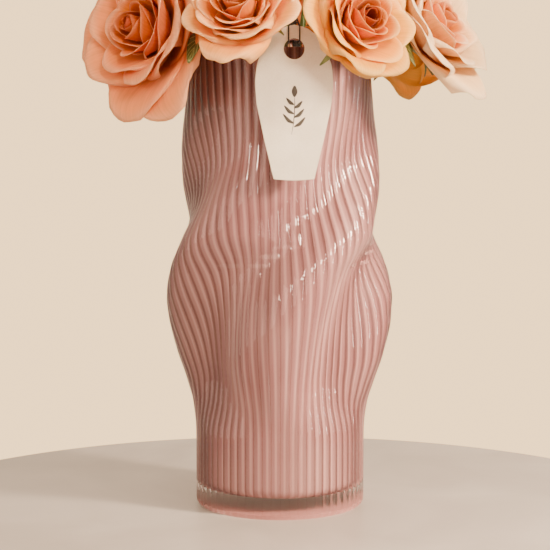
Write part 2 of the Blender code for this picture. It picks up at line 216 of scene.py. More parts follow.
def finished(
    piece: bpy.types.Object, finish: bpy.types.Material, slot: str, *nodes: str, angle: float | None = None
) -> bpy.types.Object:
    """Dress a piece and fix it to the model.

    Args:
        piece: the finished shape.
        finish: its material.
        slot: the record's material slot, not used.
        *nodes: the CAD nodes it stands for.
        angle: the widest edge that is still smooth, in degrees, or None for smooth all over.

    Returns:
        The piece.
    """
    only(piece)
    piece.data.materials.clear()
    piece.data.materials.append(finish)
    if angle is None:
        bpy.ops.object.shade_smooth()
    else:
        bpy.ops.object.shade_smooth_by_angle(angle=math.radians(angle))
    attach(piece, "root")
    if nodes:
        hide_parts(*nodes)
    log.info("%s: %d faces", piece.name, len(piece.data.polygons))
    return piece


def merged_copy(name: str, source: str) -> bpy.types.Object:
    """A copy of a CAD node with its own mesh, its loose triangles merged."""
    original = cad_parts[source]
    made = bpy.data.objects.new(name, original.data.copy())
    bpy.context.scene.collection.objects.link(made)
    close(made)
    return made


def unit(v: np.ndarray) -> np.ndarray:
    """Vectors scaled to length 1."""
    return v / np.maximum(np.linalg.norm(v, axis=-1, keepdims=True), 1e-12)


def tube(name: str, route: np.ndarray, widths: np.ndarray, sides: int) -> bpy.types.Object:
    """Wrap a grid round a route, closed at both ends.

    Args:
        name: the piece's name.
        route: the centre line's points.
        widths: the radius at each point.
        sides: faces round it.

    Returns:
        The tube.
    """
    tangent = unit(np.gradient(route, axis=0))
    side = np.empty_like(route)
    start = np.cross(tangent[0], (0.0, 0.0, 1.0))
    side[0] = unit(start) if np.linalg.norm(start) > 0.1 else (1.0, 0.0, 0.0)
    for k in range(1, len(route)):
        side[k] = unit(side[k - 1] - tangent[k] * np.dot(side[k - 1], tangent[k]))
    up = np.cross(tangent, side)
    count = len(route)
    made = sheet_of(name, sides, count + 1)

    def place(u: np.ndarray, v: np.ndarray) -> np.ndarray:
        """Points round each ring, and one at each end."""
        row = np.rint(v * (count + 1)).astype(int)
        k = np.clip(row - 1, 0, count - 1)
        r = np.where((row == 0) | (row == count + 1), 0.0, widths[k])[:, None]
        turn = (2 * math.pi * u)[:, None]
        return route[k] + r * (np.cos(turn) * side[k] + np.sin(turn) * up[k])

    shape(made.data, place)
    close(made)
    return made


# --- finishes -----------------------------------------------------------------------------------
@dataclass(frozen=True)
class ClearGlass:
    """Soda-lime glass blown into a ribbed mould: clear, thick and brightly polished, a trace of warmth."""

    tint: str = "FFFBF9"
    ior: float = 1.50
    roughness: float = 0.015

    def material(self) -> bpy.types.Material:
        """The glass, which lets lamps through to the lining behind it."""
        made, tree, shader, output = new_material("soda_lime_glass")
        feed(tree, shader, Base_Color=linear(self.tint), Roughness=self.roughness, IOR=self.ior)
        feed(tree, shader, Transmission_Weight=1.0)
        path = node(tree, "LightPath")
        clear = node(tree, "BsdfTransparent", Color=linear("FFFFFF"))
        shadow = path.outputs["Is Shadow Ray"]
        mix = node(tree, "MixShader", in0=shadow, in1=shader.outputs[0], in2=clear.outputs[0])
        feed(tree, output, Surface=mix.outputs[0])
        return made


@dataclass(frozen=True)
class PinkLining:
    """Opaque pink glass cased onto the inside: an even colour, with painted shade where the clear ribs meet.
    """

    ribs: int
    light: str = "9E7572"
    deep: str = "86585A"
    # groove: painted shade under each groove of the ribs
    groove: str = "684244"
    # crest: a painted highlight line behind each crest
    crest: str = "C79C98"

    def material(self) -> bpy.types.Material:
        """The lining, its painted groove shade and crest highlight placed by its UV map, one to a rib."""
        made, tree, shader, _ = new_material("cased_pink_glass")
        place = node(tree, "SeparateXYZ", in0=node(tree, "TexCoord").outputs["UV"])
        count = node(tree, "Math", TIMES, in0=place.outputs["X"], in1=float(self.ribs))
        part = node(tree, "Math", PINGPONG, in0=count.outputs[0], in1=0.5)
        # 0 under a groove, 1 under the crest of a rib
        rise = node(tree, "Math", TIMES, in0=part.outputs[0], in1=2.0).outputs[0]
        points = node(tree, "TexCoord").outputs["Object"]
        cloud = node(tree, "TexNoise", Vector=points, Scale=14.0, Detail=2.0)
        tones = {"stops": ((0.30, self.deep), (0.72, self.light))}
        shade = node(tree, "ValToRGB", tones, in0=cloud.outputs[0])
        # painted shade: darker under each groove, for the shading that refraction in the clear ribs gives
        # there
        groove_shade_mask = node(tree, "MapRange", SMOOTH, Value=rise, in1=0.0, in2=0.46)
        mix = node(tree, "Mix", BLEND, in0=groove_shade_mask.outputs[0], in6=linear(self.groove), in7=shade.outputs[0])
        # painted highlight: a narrow paler line behind each crest, for the light that a clear rib focuses
        # there
        line = node(tree, "MapRange", SMOOTH, Value=rise, in1=0.60, in2=1.0, in3=0.0, in4=0.52)
        paler = node(tree, "Mix", BLEND, in0=line.outputs[0], in6=mix.outputs[2], in7=linear(self.crest))
        # it is fused to the clear glass, so there is almost no gloss where they meet
        feed(tree, shader, Base_Color=paler.outputs[2], Roughness=0.35, Specular_IOR_Level=0.08)
        return made


@dataclass(frozen=True)
class Petal:
    """Living rose petal: velvety, thin enough to glow, apricot in the heart and pale at the rolled rim."""

    name: str
    heart: str
    middle: str
    outer: str
    rim: str
    glow: float = 0.36

    def material(self) -> bpy.types.Material:
        """The petal, coloured by its layer and by its own UV map."""
        made, tree, shader, output = new_material(self.name)
        layer = node(tree, "Attribute", {"attribute_name": "petal_layer"})
        parts = node(tree, "SeparateColor", in0=layer.outputs["Color"])
        place = node(tree, "SeparateXYZ", in0=node(tree, "TexCoord").outputs["UV"])
        layers = ((0.0, self.heart), (0.34, self.middle), (0.74, self.outer), (1.0, self.outer))
        body = node(tree, "ValToRGB", {"stops": layers}, in0=parts.outputs[0])
        # the foot of each petal is deeper and the rolled rim paler
        along = place.outputs["Y"]
        foot = node(tree, "MapRange", SMOOTH, Value=along, in1=0.62, in2=0.10, in3=0.0, in4=0.75)
        toned = node(tree, "Mix", BLEND, in0=foot.outputs[0], in6=body.outputs[0], in7=linear(self.middle))
        edge = node(tree, "MapRange", SMOOTH, Value=along, in1=0.82, in2=1.0, in3=0.0, in4=0.5)
        keep = node(tree, "MapRange", Value=parts.outputs[0], in1=0.05, in2=0.45, in3=0.10, in4=1.0)
        share = node(tree, "Math", TIMES, in0=edge.outputs[0], in1=keep.outputs[0])
        pale = node(tree, "Mix", BLEND, in0=share.outputs[0], in6=toned.outputs[2], in7=linear(self.rim))
        # veins run from the foot to the rim, about 1 mm apart, drawn a little coarser so that they show
        uv = node(tree, "TexCoord").outputs["UV"]
        stretch = node(tree, "Mapping", Vector=uv, Scale=(46.0, 2.2, 1.0))
        veins = node(tree, "TexNoise", Vector=stretch.outputs[0], Scale=1.0, Detail=3.0, Distortion=0.4)
        vein = node(tree, "MapRange", Value=veins.outputs[0], in1=0.35, in2=0.75, in3=0.90, in4=1.06)
        tone = node(tree, "MapRange", Value=parts.outputs[1], in3=0.90, in4=1.07)
        both = node(tree, "Math", TIMES, in0=vein.outputs[0], in1=tone.outputs[0])
        colour = node(tree, "HueSaturation", Value=both.outputs[0], Color=pale.outputs[2])
        bump = node(tree, "Bump", Strength=0.22, Distance=0.25 * MM, Height=veins.outputs[0])
        feed(tree, shader, Base_Color=colour.outputs[0], Roughness=0.52, Specular_IOR_Level=0.22)
        feed(tree, shader, Sheen_Weight=0.08, Sheen_Roughness=0.45, Normal=bump.outputs[0])
        through = node(tree, "BsdfTranslucent", Color=colour.outputs[0], Normal=bump.outputs[0])
        mix = node(tree, "MixShader", in0=self.glow, in1=shader.outputs[0], in2=through.outputs[0])
        feed(tree, output, Surface=mix.outputs[0])
        return made


@dataclass(frozen=True)
class Greenery:
    """Stem, sepal or leaf: waxy skin over matt green, mottled, with a soft shine."""

    name: str
    dark: str
    light: str
    roughness: float = 0.42
    veined: bool = False
    vein: str = "A9A76B"

    def material(self) -> bpy.types.Material:
        """The green skin, with side veins from the UV map on a leaf."""
        made, tree, shader, _ = new_material(self.name)
        points = node(tree, "TexCoord").outputs["Object"]
        mottle = node(tree, "TexNoise", Vector=points, Scale=170.0, Detail=4.0)
        tones = {"stops": ((0.32, self.dark), (0.70, self.light))}
        colour = node(tree, "ValToRGB", tones, in0=mottle.outputs[0]).outputs[0]
        height = mottle.outputs[0]
        if self.veined:
            place = node(tree, "SeparateXYZ", in0=node(tree, "TexCoord").outputs["UV"])
            off = node(tree, "Math", {"operation": "SUBTRACT"}, in0=place.outputs["X"], in1=0.5)
            far = node(tree, "Math", {"operation": "ABSOLUTE"}, in0=off.outputs[0]).outputs[0]
            # eight pairs of side veins, slanting up from the midrib
            slant = node(
                tree, "Math", {"operation": "MULTIPLY_ADD"}, in0=far, in1=-0.45, in2=place.outputs["Y"]
            )
            turns = node(tree, "Math", TIMES, in0=slant.outputs[0], in1=8.0)
            side = node(tree, "Math", PINGPONG, in0=turns.outputs[0], in1=0.5)
            main = node(tree, "Math", TIMES, in0=far, in1=6.0)
            near = node(tree, "Math", {"operation": "MINIMUM"}, in0=side.outputs[0], in1=main.outputs[0])
            vein = node(tree, "MapRange", SMOOTH, Value=near.outputs[0], in1=0.0, in2=0.14)
            mix = node(tree, "Mix", BLEND, in0=vein.outputs[0], in6=linear(self.vein), in7=colour)
            colour, height = mix.outputs[2], vein.outputs[0]
        bump = node(tree, "Bump", Strength=0.35, Distance=0.3 * MM, Height=height)
        feed(tree, shader, Base_Color=colour, Roughness=self.roughness, Normal=bump.outputs[0])
        return made


@dataclass(frozen=True)
class Paper:
    """Uncoated cotton card: soft cream, matt, with fibres about half a millimetre long."""

    colour: str = "EFE6D3"
    fibre: str = "DFD3BC"

    def material(self) -> bpy.types.Material:
        """The card's faces and its cut edge."""
        made, tree, shader, _ = new_material("uncoated_cotton_card")
        points = node(tree, "TexCoord").outputs["Object"]
        fibres = node(tree, "TexNoise", Vector=points, Scale=1900.0, Detail=3.0, Distortion=1.2)
        cloud = node(tree, "TexNoise", Vector=points, Scale=90.0, Detail=2.0)
        both = node(tree, "Mix", {"data_type": "FLOAT"}, in0=0.4, in2=fibres.outputs[0], in3=cloud.outputs[0])
        tones = {"stops": ((0.35, self.fibre), (0.62, self.colour))}
        colour = node(tree, "ValToRGB", tones, in0=both.outputs[0])
        bump = node(tree, "Bump", Strength=0.35, Distance=0.06 * MM, Height=fibres.outputs[0])
        feed(tree, shader, Base_Color=colour.outputs[0], Roughness=0.86, Specular_IOR_Level=0.25)
        feed(tree, shader, Normal=bump.outputs[0])
        return made


@dataclass(frozen=True)
class Thread:
    """Woven or twisted thread: matt, its strands crossing the piece at a slant."""

    name: str
    colour: str
    light: str
    pitch: float
    roughness: float = 0.68

    def material(self) -> bpy.types.Material:
        """The strands, from the piece's own points."""
        made, tree, shader, _ = new_material(self.name)
        points = node(tree, "TexCoord").outputs["Object"]
        turned = node(tree, "Mapping", Vector=points, Rotation=(0.7, 0.6, 0.8))
        scale = WAVE_SCALE / self.pitch
        strands = node(tree, "TexWave", Vector=turned.outputs[0], Scale=scale, Distortion=1.0, Detail=1.0)
        tones = {"stops": ((0.2, self.colour), (0.9, self.light))}
        colour = node(tree, "ValToRGB", tones, in0=strands.outputs["Fac"])
        bump = node(tree, "Bump", Strength=0.6, Distance=0.12 * MM, Height=strands.outputs["Fac"])
        feed(tree, shader, Base_Color=colour.outputs[0], Roughness=self.roughness, Sheen_Weight=0.25)
        feed(tree, shader, Normal=bump.outputs[0])
        return made


class RoseColour(Enum):
    """The colours that the roses come in, the peach partly painted paler for light."""

    APRICOT = Petal("rose_petal_apricot", "B63C00", "F48800", "FFBA5C", "FFE2B6")
    GOLDEN = Petal("rose_petal_golden", "B83E00", "F68E00", "FFBC3C", "FFE29C")
    # partly painted light: the peach rose's own colour, made paler all over to look lit like a rose in strong
    # light
    PEACH = Petal("rose_petal_peach_painted_paler", "D0600A", "FFA834", "FFE0B0", "FFF2DC")
    PINK = Petal("rose_petal_pink_apricot", "B23A00", "EA7A04", "FFAA68", "FFD4AE")


# --- vase ---------------------------------------------------------------------------------------
LOBED = -1.0  # in place of a row's radius: the row follows the lobed form


def round_row(z: float, radius: float, ribs: float = 0.0) -> Row:
    """A plain ring of a shell: its height, no inset, the share of the ribs it shows and its radius."""
    return (z, 0.0, ribs, radius)


def lobed_row(z: float, inset: float, ribs: float = 0.0) -> Row:
    """A ring of a shell that lies this far inside the lobed form."""
    return (z, inset, ribs, LOBED)


@dataclass
class Vase:
    """The clear ribbed shell and the pink lining cased inside it."""

    height: float = 0.292
    base_radius: float = 0.0541
    foot_radius: float = 0.0502
    foot_bevel: float = 0.0040
    ribs: int = 60
    rib_depth: float = 0.0013
    lobes: int = 4
    sharpness: float = 1.25
    wall: float = 0.0039
    floor: float = 0.0130
    lining: float = 0.0010
    overlap: float = 0.00015
    corner: float = 0.0060
    middle: float = 0.0300
    glass_faces: int = 480
    lining_faces: int = 240
    casing_faces: int = 160
    # height as a share, mean radius and lobe size as shares of the base radius, ridge angle
    form: tuple[tuple[float, float, float, float], ...] = (
        (0.000, 1.000, 0.000, 0.0),
        (0.183, 1.000, 0.000, 0.0),
        (0.232, 0.985, 0.060, -5.0),
        (0.285, 1.020, 0.120, -8.0),
        (0.328, 1.074, 0.149, -7.0),
        (0.394, 1.132, 0.179, -2.0),
        (0.459, 1.170, 0.179, 5.0),
        (0.532, 1.168, 0.151, 18.5),
        (0.596, 1.195, 0.085, 41.3),
        (0.637, 1.147, 0.092, 52.5),
        (0.747, 1.085, 0.080, 84.0),
        (0.877, 1.110, 0.030, 117.0),
        (1.000, 1.100, 0.046, 140.0),
    )

    def radius(self, angle: np.ndarray, z: np.ndarray) -> np.ndarray:
        """The vase's radius without its ribs.

        Args:
            angle: radians from the front.
            z: heights in metres.

        Returns:
            The radii.
        """
        table = np.array(self.form)
        share = np.linspace(-0.2, 1.2, 700)
        sound = slice(26, -26)  # past these the smoothing runs off the ends
        values = []
        # the mean is smoothed least and the ridge's angle most
        for column, reach in ((1, 25), (2, 41), (3, 51)):
            soft = np.hanning(reach)
            line = np.convolve(np.interp(share, table[:, 0], table[:, column]), soft / soft.sum(), "same")
            values.append(np.interp(z / self.height, share[sound], line[sound]))
        wave = 0.5 + 0.5 * np.cos(self.lobes * (angle - np.radians(values[2])))
        return self.base_radius * (values[0] + values[1] * (2.0 * wave**self.sharpness - 1.0))

    def flute(self, angle: np.ndarray) -> np.ndarray:
        """How far each rib's round crest stands out of its grooves, from 0 to 1."""
        part = (angle * self.ribs / (2 * math.pi)) % 1.0
        across = np.abs(2.0 * part - 1.0)
        return np.sqrt(np.maximum(1.0 - (0.985 * across) ** 2, 0.0))

    def wrapped(self, name: str, around: int, rows: list[Row], ribbed: bool = False) -> bpy.types.Object:
        """Wrap a grid into a closed shell.

        Args:
            name: the piece's name.
            around: faces round the shell.
            rows: its rings from the foot's centre up, over the rim and down to the floor's centre, each
                from round_row or lobed_row.
            ribbed: whether it has ribs.

        Returns:
            The shell.
        """
        table = np.array(rows)
        made = sheet_of(name, around, len(rows) - 1)

        def place(u: np.ndarray, v: np.ndarray) -> np.ndarray:
            """Points round each ring."""
            k = np.rint(v * (len(rows) - 1)).astype(int)
            z, inset, show, plain = (table[k, c] for c in range(4))
            angle = 2 * math.pi * u
            body = np.where(plain > 0, plain, self.radius(angle, z))
            cut = self.rib_depth * show * (1.0 - self.flute(angle)) if ribbed else 0.0
            r = np.maximum(body - inset - cut, 0.0)
            r = np.where(plain == 0.0, 0.0, r)
            return np.stack([r * np.sin(angle), -r * np.cos(angle), z], axis=1)

        shape(made.data, place)
        close(made)
        return made

    def bend(self, low: float, side: float, reach: float, turns: tuple[float, ...]) -> list[Row]:
        """The rounded corner between a floor and a wall.

        Args:
            low: the floor's height.
            side: where the corner starts, from the centre.
            reach: how far out it goes.
            turns: degrees up the corner, one to a ring.

        Returns:
            The rings.
        """
        angles = [math.radians(a) for a in turns]
        return [round_row(low + self.corner * (1 - math.cos(a)), side + reach * math.sin(a)) for a in angles]

    def glass(self) -> bpy.types.Object:
        """The clear shell: ribbed outside and on the foot's bevel, smooth inside."""
        top, wall = self.height, self.wall
        foot = [round_row(0.0, 0.0), round_row(0.0006, self.middle), round_row(0.0004, 0.040)]
        foot += [round_row(0.0, 0.045), round_row(0.0, self.foot_radius)]
        for step in range(1, 6):
            turn = math.radians(18.0 * step)
            radius = self.foot_radius + (self.base_radius - self.foot_radius) * math.sin(turn)
            foot.append(round_row(self.foot_bevel * (1 - math.cos(turn)), radius, step / 5))
        rising = [lobed_row(z, 0.0, 1.0) for z in np.linspace(self.foot_bevel + 0.002, top - 0.006, 118)]
        # the fire-polished lip: below the top, inset, share of the ribs
        lip = [
            lobed_row(top - below, inset, ribs)
            for below, inset, ribs in (
                (0.0035, 0.0001, 0.9), (0.0016, 0.0005, 0.6), (0.0004, 0.0012, 0.2), (0.0, 0.0020, 0.0),
                (0.0004, 0.0029, 0.0), (0.0016, 0.0035, 0.0), (0.0035, wall, 0.0),
            )
        ]
        falling = [lobed_row(z, wall) for z in np.linspace(top - 0.010, self.floor + self.corner, 46)]
        inside = self.base_radius - wall
        well = []
        for a in (math.radians(d) for d in (15, 30, 50, 70, 90)):
            z = self.floor + self.corner * (1 - math.sin(a))
            well.append(round_row(z, inside - self.corner * (1 - math.cos(a))))
        well += [round_row(self.floor, r) for r in (self.middle, 0.015, 0.0)]
        rows = foot + rising + lip + falling + well
        return self.wrapped("vase_glass_ribbed", self.glass_faces, rows, ribbed=True)

    def coloured_lining(self) -> bpy.types.Object:
        """The lining: a bowl and a lobed wall that lie just under the glass's inside."""
        top, inside = self.height, self.base_radius - self.wall
        out, back = self.wall - self.overlap, self.wall + self.lining
        low, floor = self.floor - self.overlap, self.floor + self.lining
        bowl = [round_row(low, 0.0), round_row(low, 0.020), round_row(low, inside - self.corner)]
        bowl += self.bend(low, inside - self.corner, self.corner + self.overlap, (20, 40, 60, 75))
        climb = [lobed_row(z, out) for z in np.linspace(low + self.corner, top - 0.0052, 100)]
        edge = [
            lobed_row(top - 0.0046, out + 0.0003), lobed_row(top - 0.0046, back - 0.0003),
            lobed_row(top - 0.0052, back),
        ]
        drop = [lobed_row(z, back) for z in np.linspace(top - 0.012, self.floor + 0.008, 50)]
        end = [round_row(floor, r) for r in (inside - 0.007, 0.020, 0.0)]
        return self.wrapped("vase_lining_cased", self.lining_faces, bowl + climb + edge + drop + end)

    def foot_casing(self) -> bpy.types.Object:
        """The thin layer of colour within the foot, which shows as a pink line on the table."""
        low, high = 0.0010, 0.0034
        rows = [round_row(low, 0.0), round_row(low, self.middle), round_row(low, self.foot_radius - 0.0018)]
        rows += [round_row(0.0013, self.foot_radius - 0.0010), round_row(0.0030, self.foot_radius - 0.0004)]
        rows += [round_row(high, r) for r in (self.foot_radius - 0.0012, self.middle, 0.0)]
        return self.wrapped("vase_foot_casing", self.casing_faces, rows)

    def build(self) -> None:
        """Make and dress the shells."""
        finished(self.glass(), ClearGlass().material(), "glass", "vase_glass", angle=50.0)
        pink = PinkLining(self.ribs).material()
        finished(self.coloured_lining(), pink, "lining", "vase_lining", angle=50.0)
        # painted light: the foot's casing is a paler copy of the lining, making up for the light that its
        # shaded place doesn't get
        pale, deep = "B98480", "A8706D"
        painted_light_casing = PinkLining(self.ribs, pale, deep, pale, pale).material()
        finished(self.foot_casing(), painted_light_casing, "lining", angle=50.0)


# --- roses --------------------------------------------------------------------------------------
GOLDEN_ANGLE = math.radians(137.5)  # from each petal to the next in the spiral


@dataclass
class RosePlace:
    """Where one rose is: its calyx, its axis and its size."""

    calyx: np.ndarray
    axis: np.ndarray
    size: float
    seed: int

    def placed(self, local: np.ndarray) -> np.ndarray:
        """Points in the rose's own axes moved to the model's frame."""
        side = np.cross((0.0, 0.0, 1.0), self.axis) if abs(self.axis[2]) < 0.98 else np.array((1.0, 0.0, 0.0))
        side = unit(side)
        up = unit(np.cross(self.axis, side))
        return self.calyx + local @ np.stack([side, up, self.axis])


@dataclass
class Roses:
    """All the blooms, their sepals and their stems."""

    dome_radius: float = 0.113
    dome_centre_z: float = 0.290
    depth: float = 0.0345
    # angle from the front, height of the heart, lean above level, turn, size
    lower: tuple[tuple[float, float, float, float, float], ...] = (
        (-57.0, 0.302, 10.0, 12.0, 1.12),
        (-14.0, 0.315, 30.0, 0.0, 0.95),
        (29.0, 0.303, 17.0, 4.0, 0.95),
        (75.0, 0.312, 30.0, -16.0, 0.95),
        (121.0, 0.306, 20.0, 6.0, 0.97),
        (166.0, 0.311, 24.0, 0.0, 0.95),
        (211.0, 0.304, 17.0, -4.0, 0.97),
        (255.5, 0.311, 26.0, 0.0, 0.95),
    )
    upper_count: int = 5
    upper_elevation: float = 51.0
    upper_turn: float = 8.0
    upper_size: float = 0.88
    crown_size: float = 0.86
    petals: int = 27
    across: int = 14
    along: int = 14
    thickness: float = 0.00026
    # how much wider the outer petals have opened, rose by rose, and the roses that aren't apricot
    spread: tuple[float, ...] = (1.54, 1.16, 1.16, 1.62, 1.22, 1.22, 1.22, 1.22) + (1.34,) * 6
    colours: dict[int, RoseColour] = field(
        default_factory=lambda: {
            1: RoseColour.PINK, 3: RoseColour.GOLDEN, 4: RoseColour.PEACH, 5: RoseColour.GOLDEN,
            6: RoseColour.PINK, 8: RoseColour.PINK, 10: RoseColour.GOLDEN, 11: RoseColour.PINK,
            12: RoseColour.PEACH,
        }
    )
    places: list[RosePlace] = field(default_factory=list)

    def around(self, angle: float, radius: float, z: float) -> np.ndarray:
        """A point at an angle in radians from the front."""
        return np.array((radius * math.sin(angle), -radius * math.cos(angle), z))

    def find_places(self) -> None:
        """Work out the calyx and axis of every rose."""
        for degrees, height, lean, turn, size in self.lower:
            angle, lean, turn = (math.radians(v) for v in (degrees, lean, turn))
            reach = math.sqrt(self.dome_radius**2 - (height - self.dome_centre_z) ** 2)
            tip = self.around(angle, reach, height)
            axis = self.around(angle + turn, math.cos(lean), math.sin(lean))
            self.places.append(RosePlace(tip - axis * self.depth * size, axis, size, len(self.places) + 1))
        rise = math.radians(self.upper_elevation)
        centre = np.array((0.0, 0.0, self.dome_centre_z))
        for k in range(self.upper_count):
            angle = math.radians(self.upper_turn + 360.0 * k / self.upper_count)
            axis = self.around(angle, math.cos(rise), math.sin(rise))
            calyx = centre + axis * (self.dome_radius - self.depth * self.upper_size)
            self.places.append(RosePlace(calyx, axis, self.upper_size, len(self.places) + 1))
        up = np.array((0.0, 0.0, 1.0))
        calyx = centre + up * (self.dome_radius - self.depth * self.crown_size)
        self.places.append(RosePlace(calyx, up, self.crown_size, len(self.places) + 1))

    def petal_form(self, t: float, turn: float, spread: float, rng: np.random.Generator) -> Form:
        """The form of one petal in the rose's own axes, worked out in millimetres.

        Args:
            t: 0 for the innermost petal, 1 for the outermost.
            turn: its angle round the heart, in radians.
            spread: how much larger than usual the outer petals are.
            rng: the rose's own seeded numbers.

        Returns:
            A form for shape().
        """
        wide_open = 1.0 + (spread - 1.0) * float(np.clip((t - 0.45) / 0.4, 0.0, 1.0))
        length = (25.5 + 11.5 * t) * rng.uniform(0.94, 1.05) * wide_open
        half = (11.5 + 13.5 * t**0.8) * rng.uniform(0.92, 1.08) * wide_open
        foot_r, foot_z = 0.6 + 3.2 * t, 7.0 * (1.0 - t) ** 1.2 + 1.2
        lean = rng.normal(0.0, 3.0 + 3.0 * t)
        # the petal's angle from the axis at its foot, waist, shoulder and rim
        knots = np.array((0.0, 0.28, 0.62, 0.86, 1.0))
        inner = np.array((52.0, 10.0, -6.0, -14.0, -10.0))
        outer = np.array((88.0, 68.0, 50.0, 84.0, 140.0 + rng.uniform(-20, 20)))
        lean_line = inner + (outer - inner) * t**1.05 + lean * np.array((0.2, 0.7, 1.0, 1.0, 1.0))
        fine = np.linspace(0.0, 1.0, 60)
        kernel = np.hanning(11) / np.hanning(11).sum()
        angle = np.pad(np.radians(np.interp(fine, knots, lean_line)), 5, mode="edge")
        angle = np.convolve(angle, kernel, "valid")

        def added(slope: np.ndarray, start: float) -> np.ndarray:
            """Add up a slope along the petal, from its foot."""
            steps = len(slope) - 1
            return np.concatenate([[0.0], np.cumsum(slope[:-1] + slope[1:]) / 2 / steps]) * length + start

        run, rise = added(np.sin(angle), foot_r), added(np.cos(angle), foot_z)
        phase, ripple = rng.uniform(0, 6.28, 3), rng.uniform(0.5, 1.0)
        notch, skew, curl = rng.uniform(-0.06, 0.04), rng.normal(0.0, 0.05), rng.uniform(0.5, 1.4, 2)

        def place(u: np.ndarray, v: np.ndarray) -> np.ndarray:
            """Points of the petal, wrapped round the rose's axis.

            Args:
                u: shares across it.
                v: shares along it, from its foot.

            Returns:
                The points in metres.
            """
            s = 2.0 * u - 1.0
            # rounded top with a slight point, and a narrow foot
            top = 1.0 - 0.33 * np.abs(s) ** 2.4 - notch * t * np.exp(-((s / 0.20) ** 2)) + skew * s
            w = v * top
            swell = np.sin(np.minimum(v, 0.80) / 0.80 * math.pi / 2) ** 1.2
            outline = np.clip(0.30 + 1.25 * swell, 0.0, 1.2) / 1.2
            narrow = 1.0 - (0.08 + 0.20 * t) * ((v - 0.70) / 0.30) ** 2
            outline = np.where(v > 0.70, outline * narrow, outline)
            # the sides past two thirds of the width roll back, which leaves a point between them
            over = np.clip((np.abs(s) - 0.58) / 0.42, 0.0, 1.0) * np.where(s > 0, curl[0], curl[1])
            rim = np.clip((v - 0.45) / 0.55, 0.0, 1.0) ** 1.3
            back = over**1.6 * rim * t
            arc = s * half * outline * (1.0 - 0.20 * back)
            r, z = np.interp(w, fine, run), np.interp(w, fine, rise)
            wrap = np.clip(arc / np.maximum(r + 0.6, 3.2), -2.6, 2.6)
            r = r + 0.035 * t * arc**2 / np.maximum(r, 8.0)
            edge = np.clip((v - 0.72) / 0.28, 0.0, 1.0) ** 1.5
            ripples = np.sin(3.1 * s + phase[0]) + 0.5 * np.sin(6.7 * s + phase[1])
            wave = ripple * (0.25 + 1.35 * t) * edge * ripples
            r = r + 0.7 * wave + 5.0 * back
            z = z + 0.8 * wave - 5.5 * back
            a = turn + wrap
            return np.stack([r * np.cos(a), r * np.sin(a), z], axis=1) * MM

        return place

    def bloom(self, place: RosePlace) -> bpy.types.Object:
        """One bloom, its petals in a spiral from the heart out.

        Args:
            place: where it is.

        Returns:
            The bloom.
        """
        rng = np.random.default_rng(100 + place.seed)
        start = rng.uniform(0, 2 * math.pi)
        master = sheet_of(f"petal_master_{place.seed:02d}", self.across, self.along)
        parts = []
        for k in range(self.petals):
            t = k / (self.petals - 1)
            turn = start + k * GOLDEN_ANGLE + rng.normal(0.0, 0.10)
            mesh = master.data.copy()
            form = self.petal_form(t, turn, self.spread[place.seed - 1], rng)
            shape(mesh, lambda u, v, f=form: place.placed(f(u, v) * place.size))
            tone = rng.uniform(0.0, 1.0)
            layer = mesh.color_attributes.new("petal_layer", "FLOAT_COLOR", "POINT")
            shades = np.tile((t, tone, 0.0, 1.0), len(mesh.vertices)).astype(np.float32)
            layer.data.foreach_set("color", shades)
            made = bpy.data.objects.new(f"petal_{place.seed:02d}_{k:02d}", mesh)
            bpy.context.scene.collection.objects.link(made)
            parts.append(made)
        bpy.data.objects.remove(master)
        whole = joined(f"rose_{place.seed:02d}_bloom", parts)
        modify(whole, "SOLIDIFY", thickness=self.thickness, offset=0.0)
        return whole

    def sepals(self, place: RosePlace) -> bpy.types.Object:
        """Five sepals folded back under the bloom.

        Args:
            place: the rose's place.

        Returns:
            The sepals.
        """
        rng = np.random.default_rng(500 + place.seed)
        parts = []
        for k in range(5):
            turn = 2 * math.pi * k / 5 + rng.normal(0.0, 0.12)
            length = rng.uniform(19.0, 25.0)
            droop = rng.uniform(4.0, 30.0)
            made = sheet_of(f"sepal_{place.seed:02d}_{k}", 6, 14)

            def form(u: np.ndarray, v: np.ndarray) -> np.ndarray:
                """Points of the sepal in millimetres: wide near its foot, pointed and bent down."""
                s = 2.0 * u - 1.0
                swell = 0.55 + 0.9 * np.sin(np.minimum(v * 2.2, 1.0) * math.pi / 2)
                width = 3.6 * (1.0 - v) ** 0.8 * swell / 1.3 + 0.15
                bend = np.radians(70.0 + (30.0 + droop) * v)
                reach = 3.2 + v * length * np.sin(bend)
                rise = -0.8 + v * length * np.cos(bend) - 0.9 * s**2
                a = turn + s * width / np.maximum(reach, 3.0)
                return np.stack([reach * np.cos(a), reach * np.sin(a), rise], axis=1) * MM

            shape(made.data, lambda u, v: place.placed(form(u, v) * place.size))
            parts.append(made)
        whole = joined(f"rose_{place.seed:02d}_sepals", parts)
        modify(whole, "SOLIDIFY", thickness=0.0005, offset=0.0)
        return whole

    def stem(self, place: RosePlace) -> bpy.types.Object:
        """The CAD stem rounded off."""
        made = merged_copy(f"rose_{place.seed:02d}_stem_round", f"rose_{place.seed:02d}_stem")
        modify(made, "SUBSURF", levels=2, render_levels=2)
        return made

    def build(self) -> None:
        """Make and dress every rose."""
        self.find_places()
        petals = {colour: colour.value.material() for colour in RoseColour}
        green = Greenery("rose_stem_green", "3C4F22", "617A35").material()
        sepal = Greenery("rose_sepal_green", "4E5A28", "7C8444").material()
        for place in self.places:
            n = place.seed
            skin = petals[self.colours.get(n, RoseColour.APRICOT)]
            finished(self.bloom(place), skin, "petals", f"rose_{n:02d}_petals", f"rose_{n:02d}_heart")
            finished(self.sepals(place), sepal, "leaf")
            finished(self.stem(place), green, "stem", f"rose_{n:02d}_stem")


